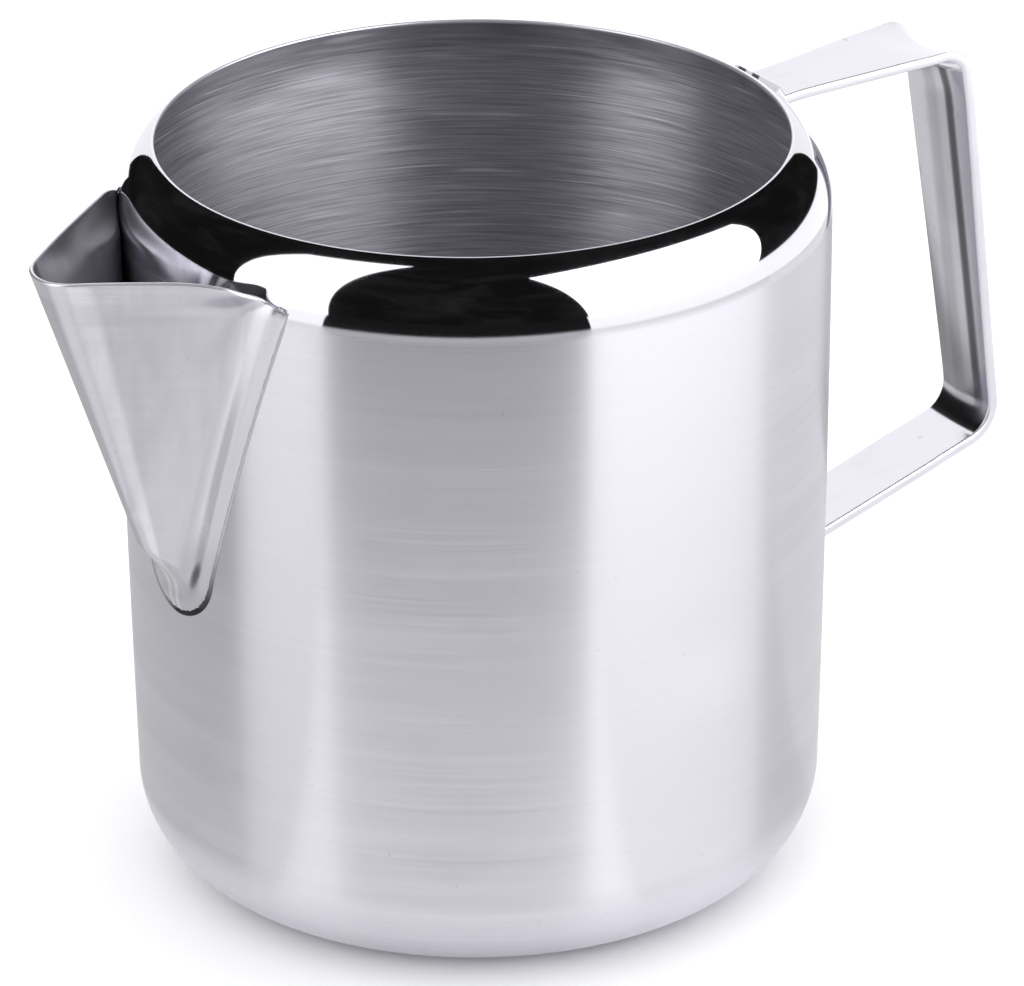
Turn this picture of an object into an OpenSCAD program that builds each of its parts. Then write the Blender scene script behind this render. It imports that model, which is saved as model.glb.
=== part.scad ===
// Milk frothing pitcher: a drawn steel jug with a rolled-in shoulder, a welded
// pouring spout and a bent strap handle. Millimetres, +Z up.
// Origin: the jug's axis where it meets the flat base. Spout towards -X,
// handle towards +X, and XZ is the plane of symmetry.

/* [Jug] */
// Outside diameter of the wall just under the shoulder
body_d = 110; // [100:0.5:120]
// Height of the mouth's edge above the base
body_h = 120; // [116:0.5:128]
// Outside diameter of the mouth
mouth_d = 97.7; // [94:0.1:100]
// Thickness of the jug's sheet
sheet = 0.7; // [0.6:0.05:0.9]
// Height of the curved shoulder
shoulder_h = 10.8; // [9:0.1:12]
// How far the wall draws in from the shoulder down to the base corner
wall_draw = 2.0; // [1:0.1:3]
// Radius of the rounded corner round the base
base_r = 16; // [12:0.5:20]

/* [Spout] */
// Highest point of the spout's rim
rim_z = 114.7; // [114:0.1:115.5]
// Height of the rim at the spout's tip
tip_z = 113.9; // [113:0.1:114.5]
// Reach of the spout's tip from the jug's axis
tip_reach = 76.8; // [74:0.1:80]
// Reach of the spout's nose at its lower end
toe_reach = 60.6; // [59.5:0.1:61.5]
// Angle between each side of the spout and its middle plane
side_angle = 36; // [32:0.5:38]
// Radius of the spout's tip at the rim
tip_r = 7.7; // [7.2:0.1:8.2]
// Radius of the spout's nose at its lower end
toe_r = 2.7; // [2.6:0.05:3]
// Thickness of the spout's sheet
spout_sheet = 0.7; // [0.6:0.05:0.8]
// Radius of the flange's round lower end
flange_r = 9; // [8:0.5:10]
// Width of the weld run round the flange
weld_w = 1; // [0.8:0.1:1.4]
// Height of the pouring hole's upper edge
hole_top = 101; // [98:0.5:103]
// Half width of the pouring hole along its upper edge
hole_half = 12; // [10:0.5:12.5]

/* [Handle] */
// Thickness of the strap
strap_t = 1.7; // [1.4:0.1:2]
// Height of the strap's upper face where the upper arm meets the grip
arm_z = 117.7; // [116:0.1:118.5]
// How much lower the upper arm is at the jug
arm_drop = 1.8; // [0:0.1:2.5]
// Reach of the grip's outside at the upper corner
grip_top = 88; // [86:0.5:92]
// Reach of the grip's outside at the lower corner
grip_low = 96.6; // [94:0.1:100]
// Height of the strap's middle line at the lower corner
low_z = 49.6; // [45:0.1:53]
// Width of the strap at the upper corner
strap_w = 17; // [14:0.2:18]
// Width of the strap at the jug
strap_end_w = 11; // [10:0.5:12]
// Width of the strap at the lower corner
strap_low_w = 12.8; // [12:0.2:14]
// Length of the lower tab, which lies on the wall
tab_l = 14; // [12:0.5:16]
// Diameter of a spot weld in the lower tab
spot_d = 4; // [3:0.5:5]

/* [Hidden] */
$fn = 96;
far = 200;

wall_r0 = body_d / 2;
shoulder_z = body_h - shoulder_h;
mouth_r = mouth_d / 2;
// the shoulder is a piece of an ellipse that stops at the mouth
turn = 64.5;
shoulder_rx = (wall_r0 - mouth_r) / (1 - cos(turn));
shoulder_rz = shoulder_h / sin(turn);
shoulder_cx = wall_r0 - shoulder_rx;

// outside radius of the wall at height z
function wall_r(z) =
  let (s = (shoulder_z - z) / shoulder_z)
  wall_r0 - wall_draw * (0.33 * s + 0.67 * s * s);

// half of the jug's outline, from the base up, moved outwards by g
function jug_outline(g) =
  let (cx = wall_r(base_r) - base_r)
  concat(
    [[0, -g]],
    [for (a = [0:7.5:90]) [cx + (base_r + g) * sin(a), base_r - (base_r + g) * cos(a)]],
    [for (i = [1:8]) let (z = base_r + (shoulder_z - base_r) * i / 8) [wall_r(z) + g, z]],
    [for (i = [1:12]) let (a = turn * i / 12)
      [shoulder_cx + (shoulder_rx + g) * cos(a), shoulder_z + (shoulder_rz + g) * sin(a)]]
  );

// the jug as a solid of revolution, g outside its real surface
module jug_solid(g) {
  rim = jug_outline(g)[len(jug_outline(g)) - 1];
  rotate_extrude()
    polygon(concat(jug_outline(g), [[0, rim[1]]]));
}

// ---- outlines on the wall, drawn as [y, z] ----
flange_top = 110.2;
flange_half = 24.6;
flange_zc = 54.4 + flange_r;
flange_rise = flange_top - flange_zc;
flange_lean = atan(flange_half / flange_rise) - asin(flange_r / norm([flange_half, flange_rise]));

// the flange's V with its round lower end, grown by g
function flange_outline(g) =
  let (
    r = flange_r + g,
    half = (r + flange_rise * sin(flange_lean)) / cos(flange_lean)
  )
  concat(
    [[half, flange_top]],
    [for (i = [0:20]) let (a = -flange_lean - (180 - 2 * flange_lean) * i / 20)
      [r * cos(a), flange_zc + r * sin(a)]],
    [[-half, flange_top]]
  );

// the pouring hole: a V with all three corners rounded
hole_r = 2.5;
hole_low = 66;
function hole_outline() =
  let (
    rise = hole_top - hole_r - hole_low,
    run = hole_half - hole_r,
    lean = atan(run / rise)
  )
  concat(
    [for (i = [0:8]) let (a = 90 - (90 + lean) * i / 8)
      [run + hole_r * cos(a), hole_top - hole_r + hole_r * sin(a)]],
    [for (i = [0:10]) let (a = -lean - (180 - 2 * lean) * i / 10)
      [hole_r * cos(a), hole_low + hole_r * sin(a)]],
    [for (i = [0:8]) let (a = 180 + lean - (90 + lean) * i / 8)
      [-run + hole_r * cos(a), hole_top - hole_r + hole_r * sin(a)]]
  );

// pushes a [y, z] outline along X, from the axis out to the far side of the spout
module along_x(outline) {
  rotate([90, 0, -90])
    linear_extrude(height = far / 2)
      polygon(outline);
}

// ---- handle and its welds ----
function unit(v) = v / norm(v);
function side_of(v) = [v[1], -v[0]];

arm_axis_z = arm_z - strap_t / 2;
arm_end_z = arm_axis_z - arm_drop;
low_end_z = 36.9;
lower_x = wall_r(34) + strap_t / 2;
// the upper tab leans with the shoulder where it touches it
tab_z = 116.4;
tab_turn = asin((tab_z - shoulder_z) / shoulder_rz);
tab_touch = [shoulder_cx + shoulder_rx * cos(tab_turn), tab_z];
tab_up = unit([-shoulder_rx * sin(tab_turn), shoulder_rz * cos(tab_turn)]);
tab_out = side_of(tab_up);
tab_mid = tab_touch + 0.2 * tab_out;
tab_top = 0.8;
upper_spot_d = 2.4;
upper_spot_y = 3;
lower_spots = [low_end_z - 5.5, low_end_z - 11];
spot_sink = 1;

// two spot welds side by side, square to the shoulder
module upper_spots_solid() {
  lean = atan2(tab_out[0], tab_out[1]);
  for (y = [-upper_spot_y, upper_spot_y])
    translate([tab_touch[0], y, tab_touch[1]])
      rotate([0, lean, 0])
        translate([0, 0, -sheet - 0.15])
          cylinder(h = sheet + 0.15 + 0.6, d = upper_spot_d);
}

// two spot welds one above the other, along X
module lower_spots_solid() {
  for (z = lower_spots)
    translate([wall_r(31) - sheet - 0.15, 0, z])
      rotate([0, 90, 0])
        cylinder(h = sheet + 0.15 + spot_sink, d = spot_d);
}

// the strap's middle line in [x, z], and the bend radius at each corner
strap_path = [
  tab_mid + tab_up * tab_top,
  tab_mid + tab_up * (arm_end_z - tab_mid[1]) / tab_up[1],
  [grip_top - strap_t / 2, arm_axis_z],
  [grip_low - strap_t / 2, low_z],
  [lower_x, low_end_z],
  [lower_x, low_end_z - tab_l]
];
strap_bend = [0, 1.4, 4.2, 5.6, 3, 0];

// one side of the strap: the path moved sideways by s, with round bends
function strap_side(s) =
  let (n = len(strap_path))
  [for (i = [0:n - 1])
    let (
      p = strap_path[i],
      u = unit(i == 0 ? strap_path[1] - p : p - strap_path[i - 1]),
      v = unit(i == n - 1 ? p - strap_path[n - 2] : strap_path[i + 1] - p),
      bend = acos(max(-1, min(1, u * v))),
      hand = side_of(u) * v < 0 ? -1 : 1,
      r = strap_bend[i],
      start = p - u * r * tan(bend / 2),
      inwards = side_of(u) * hand,
      c = start + inwards * r,
      steps = bend < 1 ? 0 : 8
    )
    for (k = [0:steps])
      let (
        f = steps == 0 ? 0 : bend * k / steps,
        w = u * sin(f) - inwards * cos(f)
      )
      c + w * (r + hand * s)
  ];
function flip(list) = [for (i = [len(list) - 1:-1:0]) list[i]];

// ---- spout solids ----
toe_z = 66;
rim_c = tip_reach - tip_r;
toe_c = toe_reach - toe_r;
// reach of the two sides' common edge, a little inside a true tangent to the nose
snug = 1.03;
edge_rim = rim_c + tip_r / snug / sin(side_angle);
edge_toe = toe_c + toe_r / snug / sin(side_angle);
edge_tilt = atan((edge_rim - edge_toe) / (rim_z - toe_z));
nose_tilt = atan((rim_c - toe_c) / (rim_z - toe_z));
nose_l = norm([rim_c - toe_c, rim_z - toe_z]);
nose_grow = (tip_r - toe_r) / nose_l;
section_tan = tan(side_angle) / cos(edge_tilt);

// the two flat sides, moved inwards by g
module spout_sides(g) {
  inset = g / sin(atan(section_tan));
  translate([-edge_toe, 0, toe_z])
    rotate([0, -edge_tilt, 0])
      translate([inset, 0, -20])
        linear_extrude(height = 80)
          polygon([[0, 0], [40, 40 * section_tan], [40, -40 * section_tan]]);
}

// the rounded nose between them
module spout_nose(g) {
  translate([-toe_c, 0, toe_z])
    rotate([0, -nose_tilt, 0])
      translate([0, 0, -10])
        cylinder(
          h = nose_l + 16,
          r1 = toe_r - g - 10 * nose_grow,
          r2 = tip_r - g + 6 * nose_grow
        );
}

// everything outside the plane where the sides run into the nose
module beyond_sides() {
  cut_toe = toe_c + 0.45 * toe_r;
  cut_rim = rim_c + 0.45 * tip_r;
  translate([-cut_toe, 0, toe_z])
    rotate([0, -atan((cut_rim - cut_toe) / (rim_z - toe_z)), 0])
      translate([-40, -40, -30])
        cube([40, 80, 110]);
}

// everything under the spout's sloping lower end
module under_toe(g) {
  translate([-54, 0, 56.5 + g])
    rotate([0, 40, 0])
      translate([-60, -40, -60])
        cube([120, 80, 60]);
}

// the spout as a full solid, g inside its real surface
module spout_solid(g) {
  difference() {
    union() {
      difference() {
        spout_sides(g);
        beyond_sides();
      }
      spout_nose(g);
    }
    under_toe(g * 1.4);
  }
}

// everything under the spout's rim, which falls a little to the tip and more to the jug
module below_rim() {
  rotate([90, 0, 0])
    linear_extrude(height = 80, center = true)
      polygon([
        [-far, 40], [-far, tip_z - 0.2], [-tip_reach, tip_z], [-64, rim_z],
        [-58, rim_z - 0.4], [-54, rim_z - 2], [-50, flange_top + 0.6], [-44, flange_top], [-44, 40]
      ]);
}

// ---- parts ----
// drawn jug with its pouring hole
module jug_body() {
  color("silver")
    difference() {
      rotate_extrude()
        polygon(concat(jug_outline(0), flip(jug_outline(-sheet))));
      along_x(hole_outline());
      upper_spots_solid();
      lower_spots_solid();
    }
}

// pressed spout with the flange that lies on the wall
module pouring_spout() {
  color("lightsteelblue")
    difference() {
      union() {
        intersection() {
          spout_solid(0);
          below_rim();
        }
        intersection() {
          jug_solid(spout_sheet);
          along_x(flange_outline(0));
        }
      }
      spout_solid(spout_sheet);
      jug_solid(0);
    }
}

// weld run round the flange's edge
weld_h = 0.45;
module spout_seam_weld() {
  color("dimgray")
    difference() {
      intersection() {
        jug_solid(weld_h);
        along_x(flange_outline(weld_w));
      }
      along_x(flange_outline(0));
      jug_solid(0);
    }
}

// short weld along each top corner of the flange, on the shoulder
corner_in = 22.6;
module spout_corner_welds() {
  color("dimgray")
    for (s = [-1, 1])
      difference() {
        intersection() {
          jug_solid(weld_h);
          translate([-far / 2, s * (corner_in + flange_half + weld_w) / 2, flange_top + weld_w / 2])
            cube([far, flange_half + weld_w - corner_in, weld_w], center = true);
          translate([-far, -far, 0])
            cube([far, 2 * far, far]);
        }
        jug_solid(0);
      }
}

// the strap at full width, with the lower tab thick enough to bed on the wall
module strap_blank() {
  rotate([90, 0, 0])
    linear_extrude(height = 30, center = true)
      polygon(concat(strap_side(strap_t / 2), flip(strap_side(-strap_t / 2))));
  translate([lower_x - strap_t, -15, low_end_z - tab_l])
    cube([strap_t, 30, tab_l - 3]);
}

// the strap's outline from above: it widens from the jug to the grip
module strap_plan() {
  linear_extrude(height = far)
    polygon([
      [50, -strap_end_w / 2], [58, -strap_end_w / 2], [grip_top, -strap_w / 2], [far, -strap_w / 2],
      [far, strap_w / 2], [grip_top, strap_w / 2], [58, strap_end_w / 2], [50, strap_end_w / 2]
    ]);
}

// the strap's outline from behind: it narrows down the grip
module strap_front() {
  low_half = strap_low_w / 2;
  rotate([90, 0, 90])
    linear_extrude(height = far)
      polygon([
        [-low_half, 0], [-low_half, low_z - 4], [-strap_w / 2, arm_z], [-strap_w / 2, arm_z + 5],
        [strap_w / 2, arm_z + 5], [strap_w / 2, arm_z], [low_half, low_z - 4], [low_half, 0]
      ]);
}

// bent strap with a tab at each end lying on the wall
module handle_strap() {
  color("gainsboro")
    difference() {
      intersection() {
        strap_blank();
        strap_plan();
        strap_front();
      }
      jug_solid(0);
      upper_spots_solid();
      lower_spots_solid();
    }
}

// spot welds through the wall into the upper tab
module handle_upper_welds() {
  color("gray")
    upper_spots_solid();
}

// spot welds through the wall into the lower tab
module handle_lower_welds() {
  color("gray")
    lower_spots_solid();
}

jug_body();
pouring_spout();
spout_seam_weld();
spout_corner_welds();
handle_strap();
handle_upper_welds();
handle_lower_welds();
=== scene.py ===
"""Milk frothing pitcher: a drawn steel jug with a welded pouring spout and a bent strap handle."""

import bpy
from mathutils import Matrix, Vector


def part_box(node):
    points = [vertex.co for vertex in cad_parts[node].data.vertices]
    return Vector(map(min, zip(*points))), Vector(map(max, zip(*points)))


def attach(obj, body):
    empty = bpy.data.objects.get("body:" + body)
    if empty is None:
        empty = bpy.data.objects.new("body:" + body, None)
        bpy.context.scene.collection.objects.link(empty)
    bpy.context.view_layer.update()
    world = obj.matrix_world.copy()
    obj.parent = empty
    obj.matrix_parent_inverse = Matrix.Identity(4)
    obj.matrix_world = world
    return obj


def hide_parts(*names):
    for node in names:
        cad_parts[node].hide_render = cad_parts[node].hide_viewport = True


bl_info = {
    "name": "Milk Frothing Pitcher",
    "version": (1, 0, 0),
    "blender": (4, 5, 0),
    "location": "View3D > Sidebar > Pitcher",
    "description": "Builds a steel milk frothing pitcher around its packed frame",
    "category": "Add Mesh",
}

from math import asin, atan, atan2, ceil, copysign, cos, exp, hypot, pi, radians, sin, sqrt, tan

import bmesh
import bpy
from bpy.props import FloatProperty, FloatVectorProperty, PointerProperty
from bpy.types import Operator, Panel, PropertyGroup
from mathutils import Matrix, Vector

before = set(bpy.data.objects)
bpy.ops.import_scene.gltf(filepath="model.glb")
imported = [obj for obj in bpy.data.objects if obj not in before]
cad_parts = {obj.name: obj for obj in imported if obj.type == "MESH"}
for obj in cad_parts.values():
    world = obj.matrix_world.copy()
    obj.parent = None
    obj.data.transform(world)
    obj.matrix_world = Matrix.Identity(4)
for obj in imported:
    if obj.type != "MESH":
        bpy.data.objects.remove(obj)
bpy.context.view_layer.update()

MM = 0.001
JUG_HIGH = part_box("jug_body")[1]

# ---- sizes and colours


def length(name, description, default, low=0.0, high=1.0):
    """A length property in metres."""
    return FloatProperty(
        name=name, description=description, default=default,
        min=low, max=high, precision=5, unit="LENGTH",
    )


def tint(name, description, default):
    """A colour property."""
    return FloatVectorProperty(
        name=name, description=description, default=default,
        size=3, min=0.0, max=1.0, subtype="COLOR",
    )


def share(name, description, default):
    """A factor from 0 to 1."""
    return FloatProperty(
        name=name, description=description, default=default,
        min=0.0, max=1.0, subtype="FACTOR",
    )


class PITCHER_jug_sizes(PropertyGroup):
    """Sizes of the drawn jug."""

    radius: length("Radius", "Outside radius just under the shoulder", 0.055)
    height: length("Height", "From the base to the mouth's edge", JUG_HIGH.z)
    mouth: length("Mouth radius", "Outside radius of the mouth", 0.04885)
    sheet: length("Sheet", "Thickness of the jug's sheet", 0.0007)
    shoulder: length("Shoulder", "Height of the curved shoulder", 0.0108)
    base_corner: length("Base corner", "Radius of the corner round the base", 0.016)


class PITCHER_spout_sizes(PropertyGroup):
    """Sizes of the pouring spout."""

    sheet: length("Sheet", "Thickness of the spout's sheet", 0.00068)
    flange_low: length("Flange foot", "Lowest point of the flange", 0.0544)
    flange_radius: length("Flange radius", "Radius of the flange's round foot", 0.009)
    flange_half: length("Flange half width", "Half width at the top of the flange", 0.0250)
    flange_top: length("Flange top", "Height of the flange's top corners", 0.1103)


class PITCHER_strap_sizes(PropertyGroup):
    """Sizes of the strap handle."""

    thickness: length("Thickness", "Thickness of the strap", 0.0017)
    dish: length("Dish", "How hollow the outside of the grip is", 0.0008)
    edge: length("Edge", "Radius of the strap's long edges", 0.00045)


class PITCHER_finish(PropertyGroup):
    """Colours and sheen of the metal."""

    steel: tint("Steel", "Colour of the polished steel", (0.70, 0.694, 0.752))
    inside: tint("Inside", "Colour of the brushed inside", (0.64, 0.634, 0.692))
    weld: tint("Weld", "Colour of the ground welds", (0.55, 0.545, 0.595))
    # the dark foot of the weld: partly the unpolished weld, partly painted shade under the flange's
    # edge
    foot_weld_and_shade: tint("Dark weld and shade", "Colour of the unpolished weld at the foot", (0.035, 0.034, 0.038))
    satin: share("Satin", "Roughness of the jug's wall", 0.30)
    mirror: share("Mirror", "Roughness of the polished shoulder", 0.045)


class PITCHER_stage_sizes(PropertyGroup):
    """Sizes of the stage and its lights."""

    tent: length("Tent", "Distance of the light panels", 1.6, high=5.0)
    panel_power: FloatProperty(
        name="Panel power", description="Strength of the light panels",
        default=2.9, min=0.0, max=20.0,
    )


GROUPS = {
    "pitcher_jug": PITCHER_jug_sizes,
    "pitcher_spout": PITCHER_spout_sizes,
    "pitcher_strap": PITCHER_strap_sizes,
    "pitcher_finish": PITCHER_finish,
    "pitcher_stage": PITCHER_stage_sizes,
}

# ---- small helpers


def smooth_step(x, low, high):
    """0 below low, 1 above high, and a soft S between."""
    t = min(1.0, max(0.0, (x - low) / (high - low)))
    return t * t * (3 - 2 * t)


def soft_max(a, b, blend):
    """The larger of two values, rounded where they meet."""
    h = max(blend - abs(a - b), 0.0) / blend
    return max(a, b) + h * h * blend / 4


def soft_min(a, b, blend):
    """The smaller of two values, rounded where they meet."""
    return -soft_max(-a, -b, blend)


def between(stations, x):
    """A smooth curve through (x, value) stations, flat beyond its ends."""
    if x <= stations[0][0]:
        return stations[0][1]
    if x >= stations[-1][0]:
        return stations[-1][1]
    i = max(k for k in range(len(stations) - 1) if stations[k][0] <= x)
    (x0, y0), (x1, y1) = stations[i], stations[i + 1]
    before = stations[max(i - 1, 0)]
    after = stations[min(i + 2, len(stations) - 1)]
    m0 = (y1 - before[1]) / (x1 - before[0])
    m1 = (after[1] - y0) / (after[0] - x0)
    w = x1 - x0
    t = (x - x0) / w
    return (
        y0 * (2 * t**3 - 3 * t**2 + 1) + y1 * (3 * t**2 - 2 * t**3)
        + m0 * w * (t**3 - 2 * t**2 + t) + m1 * w * (t**3 - t**2)
    )


def build(name, points, faces, finishes, finish_of=None, crease=40.0):
    """A smooth mesh piece from points in millimetres."""
    mesh = bpy.data.meshes.new(name)
    mesh.from_pydata([Vector(p) * MM for p in points], [], faces)
    for finish in finishes:
        mesh.materials.append(finish)
    if finish_of:
        mesh.polygons.foreach_set("material_index", [finish_of(k) for k in range(len(faces))])
    bm = bmesh.new()
    bm.from_mesh(mesh)
    bmesh.ops.remove_doubles(bm, verts=bm.verts, dist=1e-7)
    bmesh.ops.dissolve_degenerate(bm, edges=bm.edges, dist=1e-7)
    loose = [v for v in bm.verts if not v.link_faces]
    bmesh.ops.delete(bm, geom=loose, context="VERTS")
    bmesh.ops.recalc_face_normals(bm, faces=bm.faces)
    for f in bm.faces:
        f.smooth = True
    for e in bm.edges:
        e.smooth = len(e.link_faces) == 2 and e.calc_face_angle(0.0) < radians(crease)
    bm.to_mesh(mesh)
    bm.free()
    piece = bpy.data.objects.new(name, mesh)
    bpy.context.scene.collection.objects.link(piece)
    return piece


def grid_faces(rows, cols, closed=False):
    """Faces between rows of points; closed joins each row's end to its start."""
    faces = []
    for i in range(rows - 1):
        for j in range(cols if closed else cols - 1):
            k = (j + 1) % cols
            faces.append((i * cols + j, i * cols + k, (i + 1) * cols + k, (i + 1) * cols + j))
    return faces


def tube_faces(count, ring):
    """Faces of a tube of count rings, with a flat face over each end."""
    ends = [tuple(range(ring)), tuple(range((count - 1) * ring, count * ring))]
    return grid_faces(count, ring, closed=True) + ends


def settle(piece, slot, *nodes):
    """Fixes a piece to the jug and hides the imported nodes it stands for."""
    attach(piece, "root")
    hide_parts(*nodes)


# ---- the jug's shape


SHOULDER_TURN = radians(64.5)  # how far the shoulder rolls in
WALL_TAPER = 2.0  # how much smaller the wall's radius is at the base
BASE_STEPS, SHOULDER_STEPS, EDGE_STEPS = 24, 30, 8
HOLE_ROWS = (60, 104)  # heights between which the pouring hole lies
HOLE_COLUMNS = 64


class JugShape:
    """The jug's outline, in millimetres."""

    def __init__(self, sizes):
        self.radius = sizes.radius / MM
        self.height = sizes.height / MM
        self.sheet = sizes.sheet / MM
        self.corner = sizes.base_corner / MM
        self.turn = SHOULDER_TURN
        self.shoulder_z = self.height - sizes.shoulder / MM
        self.rx = (self.radius - sizes.mouth / MM) / (1 - cos(self.turn))
        self.rz = sizes.shoulder / MM / sin(self.turn)
        self.cx = self.radius - self.rx

    def wall(self, z):
        """Outside radius at height z, on the wall or the shoulder."""
        if z > self.shoulder_z:
            lift = min(0.999, (z - self.shoulder_z) / self.rz)
            return self.cx + self.rx * sqrt(1 - lift * lift)
        s = (self.shoulder_z - z) / self.shoulder_z
        return self.radius - WALL_TAPER * (0.33 * s + 0.67 * s * s)

    def surface(self, y, z, lift):
        """Reach from the axis plane to a skin lift outside the jug."""
        r = self.wall(z) + lift
        return sqrt(max(r * r - y * y, 1.0))

    def outline(self):
        """The outside from the middle of the base to the mouth, as (r, z)."""
        cx = self.wall(self.corner) - self.corner
        line = [(r, 0.0) for r in (4.0, 10.0, 18.0, 26.0, 32.0)]
        for k in range(BASE_STEPS + 1):
            a = radians(90) * k / BASE_STEPS
            line.append((cx + self.corner * sin(a), self.corner * (1 - cos(a))))
        z = self.corner
        while z < self.shoulder_z - 0.7:
            z += 0.6 if 62 < z < 104 else 2.0 if z < 62 else 0.9
            z = min(z, self.shoulder_z)
            line.append((self.wall(z), z))
        if line[-1][1] < self.shoulder_z:
            line.append((self.wall(self.shoulder_z), self.shoulder_z))
        end = self.turn - 0.5 * self.sheet / self.rz
        for k in range(1, SHOULDER_STEPS + 1):
            a = end * k / SHOULDER_STEPS
            line.append((
                self.cx + self.rx * cos(a),
                self.shoulder_z + self.rz * sin(a),
            ))
        return line


def normals_of(line):
    """Unit vectors to the outside along an (r, z) line."""
    out = []
    for k in range(len(line)):
        a, b = line[max(k - 1, 0)], line[min(k + 1, len(line) - 1)]
        t = Vector((b[0] - a[0], b[1] - a[1])).normalized()
        out.append(Vector((t.y, -t.x)))
    return out


# the pouring hole is a V with three rounded corners, as (y, z) in millimetres
HOLE = ((-9.5, 98.5), (9.5, 98.5), (0.0, 66.0))
HOLE_RADIUS = 2.5


def hole_distance(y, z):
    """Distance to the pouring hole's edge, below zero inside the hole."""
    p = Vector((y, z))
    near = 1e9
    inside = True
    for k in range(3):
        a, b = Vector(HOLE[k]), Vector(HOLE[(k + 1) % 3])
        ab, ap = b - a, p - a
        t = min(1.0, max(0.0, ap.dot(ab) / ab.dot(ab)))
        near = min(near, (ap - ab * t).length)
        if ab.x * ap.y - ab.y * ap.x > 0:
            inside = False
    return (-near if inside else near) - HOLE_RADIUS


def turn_steps():
    """Angles round the jug, close together at the pouring hole."""
    fine_step, coarse_step, half_count = 0.5, 1.5, HOLE_COLUMNS // 2
    fine = [180 + fine_step * k for k in range(-half_count, half_count + 1)]
    coarse = []
    a = fine[-1] + coarse_step
    while a < fine[0] + 360 - coarse_step / 2:
        coarse.append(a)
        a += coarse_step
    return [radians(v) for v in fine + coarse]


def make_jug_mesh(shape, finishes):
    """The jug as a closed shell: the hole's edge is walled and moved onto its smooth outline."""
    outer = shape.outline()
    normals = normals_of(outer)
    half = shape.sheet / 2
    inner = [(p[0] - n.x * shape.sheet, p[1] - n.y * shape.sheet) for p, n in zip(outer, normals)]
    for k in range(5):
        inner[k] = (outer[k][0], shape.sheet)
    end, n = Vector(outer[-1]), normals[-1]
    t = Vector((-n.y, n.x))
    edge = []
    for k in range(1, EDGE_STEPS):
        a = pi * k / EDGE_STEPS
        edge.append(end - n * half + (n * cos(a) + t * sin(a)) * half)
    ring = [Vector(p) for p in outer] + edge + [Vector(p) for p in reversed(inner)]
    angles = turn_steps()
    rows, cols, count = len(ring), len(angles), len(outer)
    points = [
        [p.x * cos(a), p.x * sin(a), p.y]
        for p in ring for a in angles
    ]

    def at(i, j):
        return i * cols + j % cols

    def flat(i, j):
        a = angles[j % cols]
        return -shape.radius * sin(a), ring[i].y

    gone = set()
    for i in range(count - 1):
        if not HOLE_ROWS[0] < ring[i].y < HOLE_ROWS[1]:
            continue
        for j in range(HOLE_COLUMNS):
            y0, z0 = flat(i, j)
            y1, z1 = flat(i + 1, j + 1)
            if hole_distance((y0 + y1) / 2, (z0 + z1) / 2) < 0:
                gone.add((i, j))
    moved = set()
    walls = []
    for i, j in gone:
        for di, dj, a, b in (
            (-1, 0, (i, j), (i, j + 1)), (1, 0, (i + 1, j), (i + 1, j + 1)),
            (0, -1, (i, j), (i + 1, j)), (0, 1, (i, j + 1), (i + 1, j + 1)),
        ):
            if (i + di, j + dj) not in gone:
                moved.update((a, b))
                walls.append((
                    at(*a), at(*b),
                    at(rows - 1 - b[0], b[1]), at(rows - 1 - a[0], a[1]),
                ))
    nudge = 0.01
    for i, j in moved:
        y, z = flat(i, j)
        for _ in range(4):
            d = hole_distance(y, z)
            gy = (hole_distance(y + nudge, z) - hole_distance(y - nudge, z)) / (2 * nudge)
            gz = (hole_distance(y, z + nudge) - hole_distance(y, z - nudge)) / (2 * nudge)
            y, z = y - d * gy, z - d * gz
        for row, lift in ((i, 0.0), (rows - 1 - i, -shape.sheet)):
            r = shape.wall(z) + lift
            a = pi + asin(y / shape.radius)
            points[at(row, j)] = [r * cos(a), r * sin(a), z]
    faces, kinds = [], []
    for i in range(rows - 1):
        kind = 0 if i < count - 1 else 2 if i < count + len(edge) else 1
        mirror = rows - 2 - i
        for j in range(cols):
            if (i, j) in gone or (mirror, j) in gone:
                continue
            faces.append((at(i, j), at(i, j + 1), at(i + 1, j + 1), at(i + 1, j)))
            kinds.append(kind)
    faces += walls
    kinds += [1] * len(walls)
    for row, z, kind in ((0, 0.0, 0), (rows - 1, shape.sheet, 1)):
        points.append([0.0, 0.0, z])
        for j in range(cols):
            faces.append((len(points) - 1, at(row, j + 1), at(row, j)))
            kinds.append(kind)
    return build("jug_shell", points, faces, finishes, lambda k: kinds[k])


# ---- the spout's shape

# height of the rim at each y; the far side runs on level until it meets the shoulder
RIM = (
    (-25.0, 110.45), (-23.5, 110.9), (-22.4, 111.25), (-21.5, 111.8), (-20.8, 112.8),
    (-20.2, 113.8), (-19.4, 114.2), (-18.2, 114.6), (-16.8, 114.85), (-15.0, 114.9), (-12.8, 114.8),
    (-9.6, 114.6), (-6.5, 114.3), (-4.6, 114.1), (-2.6, 113.95), (0.0, 113.9), (2.6, 113.95),
    (4.6, 114.05), (6.5, 114.15), (9.6, 114.3), (12.8, 114.35), (15.9, 114.3), (19.0, 114.2),
    (21.5, 114.1), (23.4, 114.0), (24.3, 113.7), (25.0, 113.2),
)


# the nose's reach and radius, and the line that closes the spout off at its foot:
# each is (value, change per millimetre of height, height where it has that value)
NOSE_REACH = (61.9, 0.347, 69.6)
NOSE_RADIUS = (2.4, 0.105, 66.0)
FOOT_REACH = (54.2, 1.3, 60.2)
LEAST_NOSE = 1.2


def sloped(line, z):
    """The value at height z of a (value, slope, height) line."""
    value, slope, height = line
    return value + slope * (z - height)


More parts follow.
